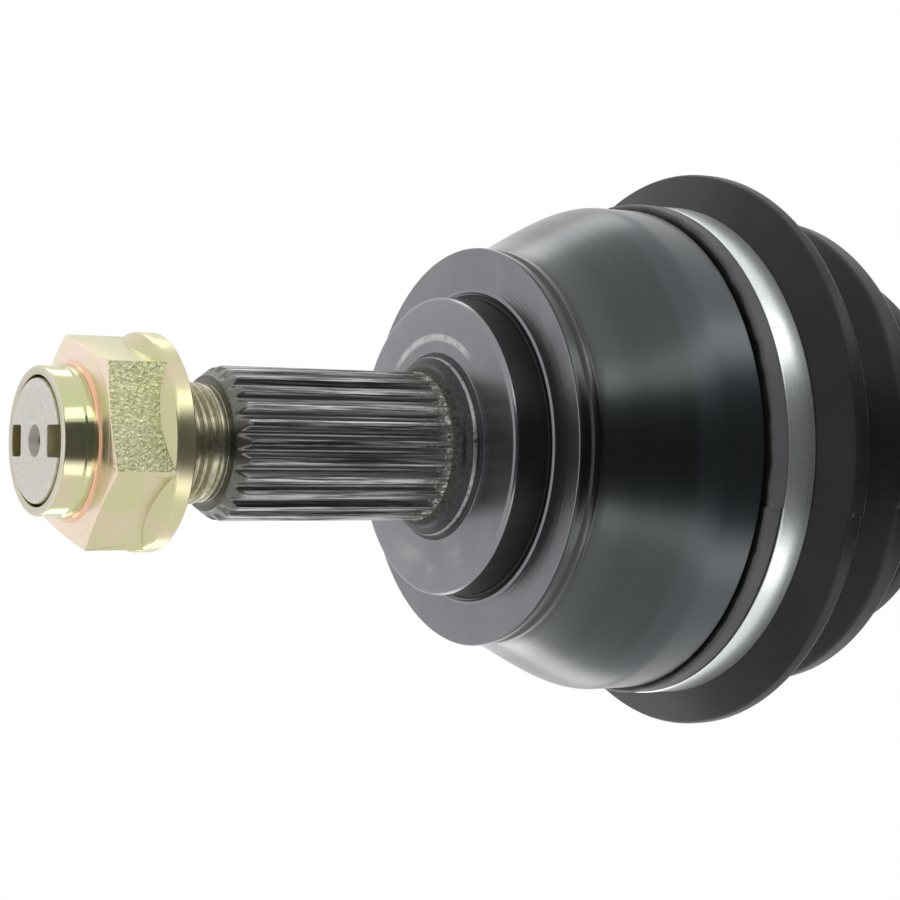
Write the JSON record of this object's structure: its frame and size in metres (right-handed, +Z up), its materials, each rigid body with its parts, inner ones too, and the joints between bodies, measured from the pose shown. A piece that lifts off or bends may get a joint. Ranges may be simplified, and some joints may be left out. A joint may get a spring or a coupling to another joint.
{
  "type": "drive shaft",
  "caption": "Front-wheel drive shaft: bell-shaped ball joint with splined stub and staking nut, solid bar, plunging ball joint with splined stub, folded rubber boots held by clamps.",
  "frame": {"origin": "on the shaft's axis, in the plane of the shoulder face that meets the wheel bearing", "axes": "+X from the wheel stub towards the gearbox, +Z up, +Y away from the camera side of the picture"},
  "size_m": [0.6299, 0.1118, 0.1118],
  "materials": {
    "housing_steel": "glossy black oxide",
    "yellow_zinc": "yellow passivated zinc",
    "bearing_steel": "ground",
    "ball_steel": "polished",
    "spring_steel": "blued",
    "boot_rubber": "matt",
    "clamp_steel": "galvanised",
    "bar_paint": "satin black"
  },
  "bodies": {
    "wheel_joint": {"wheel_joint_housing": "housing_steel", "wheel_boot": "boot_rubber", "wheel_boot_large_clamp": "clamp_steel"},
    "hub_nut": {"hub_nut": "yellow_zinc"},
    "shaft": {"drive_bar": "bar_paint", "wheel_joint_inner_race": "bearing_steel", "wheel_joint_circlip": "spring_steel", "wheel_boot_small_clamp": "clamp_steel", "gearbox_joint_inner_race": "bearing_steel", "gearbox_joint_circlip": "spring_steel", "gearbox_boot_small_clamp": "clamp_steel"},
    "wheel_cage": {"wheel_joint_cage": "bearing_steel", "wheel_joint_ball_2": "ball_steel", "wheel_joint_ball_5": "ball_steel"},
    "gearbox_pivot_balls": {"gearbox_joint_ball_2": "ball_steel", "gearbox_joint_ball_5": "ball_steel"},
    "gearbox_cage": {"gearbox_joint_cage": "bearing_steel"},
    "gearbox_joint": {"gearbox_joint_housing": "housing_steel", "gearbox_joint_retaining_ring": "spring_steel", "gearbox_boot": "boot_rubber", "gearbox_boot_large_clamp": "clamp_steel", "gearbox_stub_circlip": "spring_steel"},
    "wheel_ball_1": {"wheel_joint_ball_1": "ball_steel"},
    "gearbox_ball_1": {"gearbox_joint_ball_1": "ball_steel"},
    "wheel_ball_3": {"wheel_joint_ball_3": "ball_steel"},
    "gearbox_ball_3": {"gearbox_joint_ball_3": "ball_steel"},
    "wheel_ball_4": {"wheel_joint_ball_4": "ball_steel"},
    "gearbox_ball_4": {"gearbox_joint_ball_4": "ball_steel"},
    "wheel_ball_6": {"wheel_joint_ball_6": "ball_steel"},
    "gearbox_ball_6": {"gearbox_joint_ball_6": "ball_steel"}
  },
  "joints": [
    {"name": "hub_nut_unscrews", "type": "slide", "parent": "wheel_joint", "child": "hub_nut", "axis": [1, 0, 0], "range_m": [-0.028, 0.0035]},
    {"name": "wheel_joint_bends", "type": "hinge", "parent": "wheel_joint", "child": "shaft", "pos_m": [0.035, 0, 0], "axis": [0, 0, 1], "range_deg": [-42, 42], "deforming": ["wheel_boot"]},
    {"name": "wheel_cage_tilts", "type": "hinge", "parent": "wheel_joint", "child": "wheel_cage", "pos_m": [0.035, 0, 0], "axis": [0, 0, 1], "range_deg": [-21.5, 21.5]},
    {"name": "gearbox_joint_bends", "type": "hinge", "parent": "shaft", "child": "gearbox_pivot_balls", "pos_m": [0.435, 0, 0], "axis": [0, 0, 1], "range_deg": [-18, 18], "deforming": ["gearbox_boot"]},
    {"name": "gearbox_joint_plunges", "type": "slide", "parent": "gearbox_pivot_balls", "child": "gearbox_joint", "axis": [1, 0, 0], "range_m": [-0.015, 0.015], "deforming": ["gearbox_boot"]},
    {"name": "gearbox_cage_tilts", "type": "hinge", "parent": "shaft", "child": "gearbox_cage", "pos_m": [0.432, 0, 0], "axis": [0, 0, 1], "range_deg": [-9.5, 9.5]},
    {"name": "wheel_ball_1_rolls", "type": "hinge", "parent": "wheel_joint", "child": "wheel_ball_1", "pos_m": [0.039, 0, 0], "axis": [0, -0.5, 0.866], "range_deg": [-19, 19]},
    {"name": "gearbox_ball_1_rolls", "type": "slide", "parent": "gearbox_pivot_balls", "child": "gearbox_ball_1", "axis": [1, 0, 0], "range_m": [-0.004, 0.004]},
    {"name": "wheel_ball_3_rolls", "type": "hinge", "parent": "wheel_joint", "child": "wheel_ball_3", "pos_m": [0.039, 0, 0], "axis": [0, 0.5, 0.866], "range_deg": [-19, 19]},
    {"name": "gearbox_ball_3_rolls", "type": "slide", "parent": "gearbox_pivot_balls", "child": "gearbox_ball_3", "axis": [1, 0, 0], "range_m": [-0.004, 0.004]},
    {"name": "wheel_ball_4_rolls", "type": "hinge", "parent": "wheel_joint", "child": "wheel_ball_4", "pos_m": [0.039, 0, 0], "axis": [0, -0.5, 0.866], "range_deg": [-19, 19]},
    {"name": "gearbox_ball_4_rolls", "type": "slide", "parent": "gearbox_pivot_balls", "child": "gearbox_ball_4", "axis": [1, 0, 0], "range_m": [-0.004, 0.004]},
    {"name": "wheel_ball_6_rolls", "type": "hinge", "parent": "wheel_joint", "child": "wheel_ball_6", "pos_m": [0.039, 0, 0], "axis": [0, 0.5, 0.866], "range_deg": [-19, 19]},
    {"name": "gearbox_ball_6_rolls", "type": "slide", "parent": "gearbox_pivot_balls", "child": "gearbox_ball_6", "axis": [1, 0, 0], "range_m": [-0.004, 0.004]}
  ],
  "couplings": [
    {"joint": "wheel_cage_tilts", "follows": "wheel_joint_bends", "ratio": 0.5},
    {"joint": "gearbox_cage_tilts", "follows": "gearbox_joint_bends", "ratio": 0.5},
    {"joint": "wheel_ball_1_rolls", "follows": "wheel_joint_bends", "ratio": 0.438},
    {"joint": "gearbox_ball_1_rolls", "follows": "gearbox_joint_bends", "m_per_rad": 0.011691},
    {"joint": "wheel_ball_3_rolls", "follows": "wheel_joint_bends", "ratio": 0.438},
    {"joint": "gearbox_ball_3_rolls", "follows": "gearbox_joint_bends", "m_per_rad": -0.011691},
    {"joint": "wheel_ball_4_rolls", "follows": "wheel_joint_bends", "ratio": 0.438},
    {"joint": "gearbox_ball_4_rolls", "follows": "gearbox_joint_bends", "m_per_rad": -0.011691},
    {"joint": "wheel_ball_6_rolls", "follows": "wheel_joint_bends", "ratio": 0.438},
    {"joint": "gearbox_ball_6_rolls", "follows": "gearbox_joint_bends", "m_per_rad": 0.011691}
  ]
}
